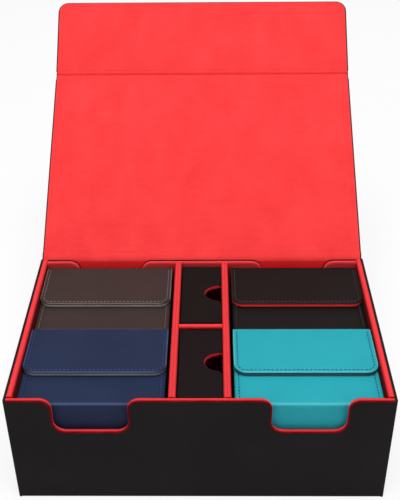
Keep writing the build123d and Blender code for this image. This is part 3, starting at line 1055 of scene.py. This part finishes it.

# ------------------------
# Deck boxes. Four boxes of leather over board that lie on their back, each with its own colour; two
# rows of stitches hold the side seams of the top, and the mouth is at the rear, behind an end panel.
# The third colour of each deck is the pale of its worn edges, set pale enough to be also a painted highlight along the
# box's top front edge and the flap's rim.
deck_finishes = {
    "brown": (colour(56, 44, 42), colour(47, 36, 34), colour(128, 118, 112), "brown_leather"),
    "navy": (colour(30, 42, 68), colour(22, 32, 57), colour(88, 102, 142), "navy_leather"),
    "black": (colour(15, 9, 9), colour(10, 6, 6), colour(46, 38, 38), "black_deck_leather"),
    "teal": (colour(38, 156, 168), colour(32, 146, 159), colour(104, 196, 205), "teal_leather"),
}
lining_finishes = {
    "brown": (colour(142, 138, 134), colour(122, 118, 114), colour(166, 162, 158), "grey_lining"),
    "navy": (colour(122, 125, 130), colour(100, 103, 109), colour(146, 148, 152), "grey_lining"),
    "black": (colour(240, 54, 60), colour(222, 42, 48), colour(248, 84, 86), "red_lining"),
    "teal": (colour(62, 86, 92), colour(46, 68, 75), colour(88, 112, 116), "slate_lining"),
}
thread_finishes = {
    "brown": (colour(124, 110, 102), colour(100, 88, 81)),
    "navy": (colour(46, 56, 108), colour(36, 44, 90)),
    "black": (colour(52, 44, 44), colour(40, 33, 33)),
    "teal": (colour(8, 74, 90), colour(5, 60, 75)),
}
deck_wall = 2.4 * mm
deck_pile = 0.8 * mm
deck_corner = 1.8 * mm
side_seam = 3.4 * mm
flap_radius = 9 * mm
flap_sheet = 1.15 * mm
flap_seam = 2.9 * mm
flap_rings = [inset * mm for inset in (8, 5, 3.9, 3.5, 3.2, 2.9, 2.6, 2.3, 1.8, 1.2)]
shell_fine = [distance * mm for distance in (0.6, 1.0, 1.3, 1.6, 1.9, 2.2, 2.8, 4)]
flap_corners = [flap_radius, flap_radius, 0.5 * mm, 0.5 * mm]
# Width of the flap leather's pale rim: wear with a painted highlight.
pale_rim = 0.75 * mm
lining_rim = 0.25 * mm
deck_stitch = {"pitch": 3.1 * mm, "length": 1.8 * mm, "radius": 0.4 * mm}
nickel = Finish("nickel plate")
scratches = nickel.grain(900.0, 3.0, (1.0, 0.2, 1.0))
nickel_plate = nickel.surface(
    scratches, 0.00002,
    {
        "Base Color": nickel.mix(scratches, colour(200, 200, 204), colour(178, 178, 184)),
        "Metallic": 1.0,
        "Roughness": 0.22 + 0.2 * scratches,
    },
)


def upright(across, up, height):
    """Outline that faces the front: across is x, up is z and height runs along y."""
    return Vector((across, height, up))


def box_section(near, mouth):
    """Section of an open deck box from inside its front wall, out round the mouth, to its front."""
    inside = [(9 * mm, near + deck_wall), (deck_wall, near + deck_wall)]
    inside += [(deck_wall, along) for along in run(near + 8 * mm, mouth - 1 * mm, 16 * mm)]
    rim = [(deck_wall - 0.1 * mm, mouth), (0.5 * mm, mouth)]
    rim += [(0.12 * mm, mouth - 0.1 * mm), (0.0, mouth - 0.5 * mm)]
    outside = [(0.0, along) for along in run(mouth - 4 * mm, near + 4 * mm, 4 * mm)]
    front_edge = 1.7 * mm
    nose = []
    for step in range(7):
        turn = math.pi / 2 * step / 6
        nose.append((front_edge * (1 - math.cos(turn)), near + front_edge * (1 - math.sin(turn))))
    return inside + rim + outside + nose + [(4 * mm, near), (9 * mm, near)]


def lining_section(near, mouth, pile, turned, edge, gap):
    """Section of a box lining from inside its far wall, out round its rim at the mouth, and back."""
    return [
        (9 * mm, near + pile),
        (pile, near + pile),
        (pile, mouth - turned),
        (pile * 0.5, mouth - edge),
        (gap, mouth - turned),
        (gap, near + 0.05 * mm),
        (9 * mm, near + 0.05 * mm),
    ]


for deck, (tone, deep, rub, leather_slot) in deck_finishes.items():
    deck_leather = leather(f"{deck} leather", tone, deep, rub, gloss=0.5, shine=0.1)
    deck_cover = {"slot": leather_slot, "material": deck_leather}
    *lining_tones, lining_slot = lining_finishes[deck]
    deck_lining = velvet(f"{deck} box lining", *lining_tones, pile=0.00008)
    deck_inside = {"slot": lining_slot, "material": deck_lining}
    deck_thread = thread(f"{deck} thread", *thread_finishes[deck])
    box_body = f"{deck}_deck"
    flap_body = f"{deck}_deck_flap"
    low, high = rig.box(f"{deck}_deck_shell")
    centre_x = (low.x + high.x) / 2
    half_width = (high.x - low.x) / 2

    def seam_groove(across, up, height, inset):
        """Sinks the two side seams into the top, and lets each face swell a little."""
        along = half_width - abs(across - centre_x)
        wave = 0.14 * mm * noise.noise(Vector((across * 34, up * 34, height * 34)))
        if inset > deck_corner * 0.9 and height < low.y + 1 * mm:
            return (0.0, 0.0, wave - 0.12 * mm)
        if up > high.z - 0.1 * mm and inset < 0.1 * mm:
            return (0.0, min(0.0, wave - 0.1 * mm) - dip(along - side_seam, 0.4 * mm, 0.5 * mm), 0.0)
        return (0.0, 0.0, 0.0)

    def edge_wear_and_highlight(point):
        """The long top front edge is paler: worn, with a painted highlight along its rounding."""
        top_edge = math.hypot(point.z - high.z + 0.6 * mm, point.y - low.y - 0.6 * mm)
        return max(0.0, 1 - top_edge / (1.3 * mm))

    carried(
        f"{deck}_box_leather", (low.x, high.x), (low.z, high.z), [deck_corner] * 4,
        box_section(low.y, high.y), upright, box_body, relief=seam_groove, fine=shell_fine,
        **deck_cover, stands_for=[f"{deck}_deck_shell"], rub=edge_wear_and_highlight,
    )
    for side, word in ((-1, "left"), (1, "right")):
        seam_x = centre_x + side * (half_width - side_seam)
        seam_run = run(low.y + 3 * mm, high.y - 3 * mm)
        route = [Vector((seam_x, along, high.z - 0.2 * mm)) for along in seam_run]
        sewing(
            f"{deck}_box_{word}_stitches", route, Vector((0, 0, 1)), box_body, leather_slot,
            deck_thread, **deck_stitch,
        )

    low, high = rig.box(f"{deck}_deck_lining")
    box_velvet = carried(
        f"{deck}_box_velvet", (low.x, high.x), (low.z, high.z), [deck_corner] * 4,
        lining_section(low.y, high.y, deck_pile, 0.4 * mm, 0.1 * mm, 0.05 * mm),
        upright, box_body, **deck_inside, stands_for=[f"{deck}_deck_lining"],
    )
    girth = 2 * (high.x - low.x + high.z - low.z)
    front_area = (high.x - low.x) * (high.z - low.z)
    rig.sheet(
        box_velvet, (girth, high.y - low.y + high.z - low.z), "folded", [f"{deck}_box_leather"],
        area=girth * (high.y - low.y) + front_area,
    )
    covered(f"{deck}_deck_catch_magnets", nickel_plate)
    covered(f"{deck}_deck_flap_magnets", nickel_plate)

    low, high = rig.box(f"{deck}_deck_end_panel")
    carried(
        f"{deck}_end_panel_leather", (low.x, high.x), (low.z, high.z), [deck_corner] * 4,
        sheet_section(high.y, low.y, 1.1 * mm, [9 * mm, 4 * mm, 2 * mm]), upright, box_body,
        spacing=9 * mm, **deck_cover, stands_for=[f"{deck}_deck_end_panel"],
    )

    # The flap: a leather sheet that bends down round the rear edge, over a lining that is glued to it
    # all but a narrow rim. A seam runs up one side, round both front corners and back.
    low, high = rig.box(f"{deck}_deck_flap")
    nose_radius = (high.z - low.z) / 2
    nose_y = high.y - nose_radius
    middle_radius = nose_radius - flap_sheet / 2
    sheet_end = nose_y + math.pi * middle_radius

    def folded(across, up, height):
        """Bends what runs past the rear edge down round it; the sheet's skin is at height 0."""
        if up <= nose_y:
            return Vector((across, up, high.z + height))
        turn = min((up - nose_y) / middle_radius, math.pi)
        reach = nose_radius + height
        nose_z = high.z - nose_radius
        return Vector((across, nose_y + reach * math.sin(turn), nose_z + reach * math.cos(turn)))

    def flap_relief(across, up, height, inset):
        """Sinks the seam and swells the leather a little inside it."""
        if height <= -0.3 * mm:
            return (0.0, 0.0, 0.0)
        distance = edge_distance(across - centre_x, -up, half_width, -low.y, flap_radius)
        flat = min(1.0, max(0.0, (nose_y - up) / (3 * mm)))
        groove = dip(distance - flap_seam, 0.38 * mm, 0.42 * mm)
        wave = 0.12 * mm * noise.noise(Vector((across * 40, up * 40, 0)))
        wave = wave * min(1.0, distance / (5 * mm)) - 0.08 * mm
        return (0.0, 0.0, min(0.0, wave) * flat - groove * flat)

    def rim_wear_and_highlight(point):
        """The leather's cut rim is paler all round its upper side: worn, with a painted highlight on top."""
        at_rim = point.y < low.y + pale_rim or abs(point.x - centre_x) > half_width - pale_rim
        return 1.0 if at_rim and point.z > high.z - 0.4 * mm else 0.0

    carried(
        f"{deck}_flap_leather", (low.x, high.x), (low.y, sheet_end), flap_corners,
        sheet_section(0.0, -flap_sheet, 0.5 * mm, flap_rings), folded, flap_body, relief=flap_relief,
        fine=sewing_fine, spacing=2.5 * mm, **deck_cover, stands_for=[f"{deck}_deck_flap"],
        rub=rim_wear_and_highlight,
    )
    route = round_flap(
        half_width, -nose_y + 1.5 * mm, -low.y, flap_radius, flap_seam,
        lambda across, up, height: Vector((centre_x + across, -up, height)), high.z - 0.2 * mm,
    )
    sewing(
        f"{deck}_flap_stitches", route, Vector((0, 0, 1)), flap_body, leather_slot, deck_thread,
        **deck_stitch,
    )
    low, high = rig.box(f"{deck}_deck_flap_lining")
    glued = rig.box(f"{deck}_deck_flap")[1].z - flap_sheet - 0.05 * mm
    top = glued - 0.6 * mm
    core = [(8 * mm, glued), (1.9 * mm, glued), (1.6 * mm, top)]
    flap_lining = carried(
        f"{deck}_flap_velvet", (low.x - lining_rim, high.x + lining_rim), (low.y - lining_rim, high.y),
        flap_corners, core + sheet_section(top, low.z, 0.5 * mm, [8 * mm])[1:], level, flap_body,
        **deck_inside, stands_for=[f"{deck}_deck_flap_lining"],
    )
    flap_size = (high.x - low.x + 2 * lining_rim, high.y - low.y + lining_rim)
    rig.sheet(flap_lining, flap_size, "laid", [f"{deck}_flap_leather"])

# ------------------------
# Narrow trays. Two shallow leather-covered boxes that stand on their side, open to the right, with a
# thumb notch in the top wall. Their solids stay as the leather; the velvet lining is made here, and
# a strip of it wraps the cut edge of the notch.
# The trays take a copy of the black leather painted darker, as painted shade where they sit in the compartments.
shaded_tray_leather = leather(
    "tray leather", colour(22, 16, 16), colour(16, 11, 11), colour(52, 45, 45), shine=0.05
)
tray_wall = 2.0 * mm
tray_pile = 0.8 * mm
notch_depth = 13.3 * mm
notch_half = 10.2 * mm
notch_flare = 5.0 * mm
strip_height = 2.3 * mm
strip_thickness = 0.4 * mm
# The trays' velvet is the red velvet painted darker, as painted shade inside the trays and along the notch edge.
tray_velvet = velvet("tray velvet", colour(196, 34, 40), colour(150, 20, 28), colour(222, 60, 64))
tray_lining = {"slot": "red_velvet", "material": tray_velvet}
strip_steps = [(1.0, -0.1), (0.0, -0.1), (0.0, 0.7), (0.15, 0.84), (0.5, 0.9), (1.0, 0.9)]


def notch_route(open_x, centre_y):
    """Edge of the notch seen from above, from front end to rear end, with the way into the wall."""
    shoulder = notch_half * math.sqrt(1 - (notch_flare / notch_depth) ** 2)
    half = []
    for (x, y), way in arc((open_x - notch_flare, shoulder + notch_flare), notch_flare, -50, -90):
        half.append(((x, y), (-way[0], -way[1])))
    widest = math.acos(notch_flare / notch_depth)
    for step in range(1, 14):
        turn = widest * (1 - step / 13)
        spot = (open_x - notch_depth * math.cos(turn), notch_half * math.sin(turn))
        way = Vector((-math.cos(turn) / notch_depth, math.sin(turn) / notch_half)).normalized()
        half.append((spot, (way.x, way.y)))
    front_half = [((x, centre_y - y), (way[0], -way[1])) for (x, y), way in half]
    rear_half = [((x, centre_y + y), way) for (x, y), way in reversed(half[:-1])]
    return front_half + rear_half


def sideways(across, up, height):
    """Outline that faces the side: across is y, up is z and height runs along x."""
    return Vector((height, across, up))


for tray in ("rear", "front"):
    body = f"{tray}_tray"
    covered(f"{tray}_tray_shell", shaded_tray_leather)
    low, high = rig.box(f"{tray}_tray_lining")
    shell_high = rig.box(f"{tray}_tray_shell")[1]
    centre_y = (low.y + high.y) / 2
    open_x = shell_high.x
    top_of_lining = shell_high.z - tray_wall
    route = notch_route(open_x, centre_y)
    lining = carried(
        f"{tray}_tray_velvet", (low.y + 0.05 * mm, high.y - 0.05 * mm),
        (low.z + 0.05 * mm, top_of_lining - 0.05 * mm), [0.3 * mm] * 4,
        lining_section(low.x, open_x, tray_pile, 0.3 * mm, 0.05 * mm, 0.0), sideways, None,
        **tray_lining,
    )
    beyond = open_x + 4 * mm
    outline = [(beyond, route[0][0][1]), *[spot for spot, way in route], (beyond, route[-1][0][1])]
    cutter_points = []
    for side in (-1, 1):
        cutter_points += [(x, y, top_of_lining + side * 3 * mm) for x, y in outline]
    rings = counted(2, len(outline))
    cutter_faces = [tuple(ring) for ring in rings]
    bands(cutter_faces, rings)
    cutter = finished("notch_cutter", cutter_points, cutter_faces, body, **tray_lining)
    cut = lining.modifiers.new("notch", "BOOLEAN")
    cut.operation = "DIFFERENCE"
    cut.object = cutter
    bpy.context.view_layer.update()
    graph = bpy.context.evaluated_depsgraph_get()
    notched = bpy.data.meshes.new_from_object(lining.evaluated_get(graph))
    lining.modifiers.clear()
    lining.data = notched
    bpy.data.objects.remove(cutter)
    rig.ride(lining, body)
    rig.replaces(lining, f"{tray}_tray_lining")
    girth = 2 * (high.y - low.y + top_of_lining - low.z)
    back_area = (high.y - low.y) * (top_of_lining - low.z)
    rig.sheet(
        lining, (girth, high.x - low.x + high.y - low.y), "folded", [f"{tray}_tray_shell"],
        area=girth * (high.x - low.x) + back_area,
    )

    points = []
    faces = []
    base = shell_high.z - strip_height
    for (x, y), way in route:
        for across, up in strip_steps:
            reach = (across - 0.9) * strip_thickness
            points.append(Vector((x + way[0] * reach, y + way[1] * reach, base + up * strip_height)))
    rings = counted(len(route), len(strip_steps))
    bands(faces, rings)
    faces += [tuple(rings[0]), tuple(rings[-1])]
    finished(f"{tray}_notch_edge", points, faces, body, **tray_lining)

# ------------------------
# Magnets. Two pairs of nickel-plated discs, one sealed behind the front cover and one in the flap,
# where they hold the flap shut. Their solids stay and only get the plating.
covered("catch_magnets", nickel_plate)
covered("flap_magnets", nickel_plate)

# ------------------------
# Studio. A plain pale table, soft light from above and from both sides of the camera, and the camera
# where the photographer stood: in front, a little above the open box.
table_half = 12.0
table_mesh = bpy.data.meshes.new("table")
table_corners = [(-1, -1), (1, -1), (1, 1), (-1, 1)]
table_mesh.from_pydata(
    [(x * table_half, y * table_half, 0) for x, y in table_corners], [], [(0, 1, 2, 3)]
)
table = placed("table", table_mesh)
table.location.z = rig.box("base_panel")[0].z - 0.1 * mm
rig.stage(table)
white = (1.0, 1.0, 1.0, 1.0)
pale = Finish("pale table")
speckle = pale.grain(40.0, 2.0)


def seen_directly(finish):
    """1 for what the camera sees, also in metal or through glass; 0 for what only lights the box."""
    rays = ("Is Camera Ray", "Is Glossy Ray", "Is Transmission Ray")
    camera_ray, glossy_ray, clear_ray = [
        finish.node("ShaderNodeLightPath", output=ray) for ray in rays
    ]
    return camera_ray + glossy_ray + clear_ray


paint = pale.node(
    "ShaderNodeBsdfDiffuse", None,
    {"Color": pale.mix(speckle, (0.88, 0.88, 0.88, 1.0), (0.86, 0.86, 0.86, 1.0)), "Roughness": 1.0},
)
glow = pale.node("ShaderNodeEmission", None, {"Color": white, "Strength": 1.0})
surface = pale.node("ShaderNodeMixShader", None, {0: 0.8 * seen_directly(pale), 1: paint, 2: glow})
pale.node("ShaderNodeOutputMaterial", None, {"Surface": surface})
table_mesh.materials.append(pale.material)

world = bpy.data.worlds.new("studio")
bpy.context.scene.world = world
room = Finish("studio", world)
room_light = room.node("ShaderNodeBackground", None, {"Color": white, "Strength": 0.3})
backdrop = room.node("ShaderNodeBackground", None, {"Color": white, "Strength": 1.0})
surroundings = room.node(
    "ShaderNodeMixShader", None, {0: seen_directly(room), 1: room_light, 2: backdrop}
)
room.node("ShaderNodeOutputWorld", None, {"Surface": surroundings})


def softbox(name, place, target, width, height, power):
    """A large soft lamp that faces a point."""
    light = bpy.data.lights.new(name, "AREA")
    light.shape = "RECTANGLE"
    light.size = width
    light.size_y = height
    light.energy = power
    lamp = placed(name, light)
    lamp.location = place
    lamp.rotation_euler = (Vector(target) - Vector(place)).to_track_quat("-Z", "Y").to_euler()


box_middle = (0.0, 0.05, 0.1)
softbox("overhead", (0.0, -0.1, 1.6), box_middle, 0.9, 0.8, 21.0)
softbox("front_left", (-0.9, -1.3, 1.1), box_middle, 0.8, 0.8, 5.5)
softbox("front_right", (1.0, -1.3, 1.0), box_middle, 0.8, 0.8, 5.0)

picture_height = 500
focal_pixels = 882.0
pitch = math.radians(34.16)
yaw = math.radians(0.91)
roll = math.radians(-0.64)
camera = bpy.data.cameras.new("camera")
camera.sensor_width = 36.0
camera.lens = camera.sensor_width * focal_pixels / picture_height
camera.clip_start = 0.01
camera_object = placed("camera", camera)
camera_object.location = (8.6 * mm, -534.5 * mm, 528.7 * mm)
look = Matrix.Rotation(yaw, 4, "Z") @ Matrix.Rotation(math.pi / 2 - pitch, 4, "X")
camera_object.rotation_euler = (look @ Matrix.Rotation(roll, 4, "Z")).to_euler()
bpy.context.scene.camera = camera_object
bpy.context.scene.view_settings.view_transform = "Standard"

size = {
    "cad": [list(cad_box[0]), list(cad_box[1])],
    "visual": [list(corner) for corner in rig.bounds()],
}
with open("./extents.json", "w") as size_file:
    json.dump(size, size_file)
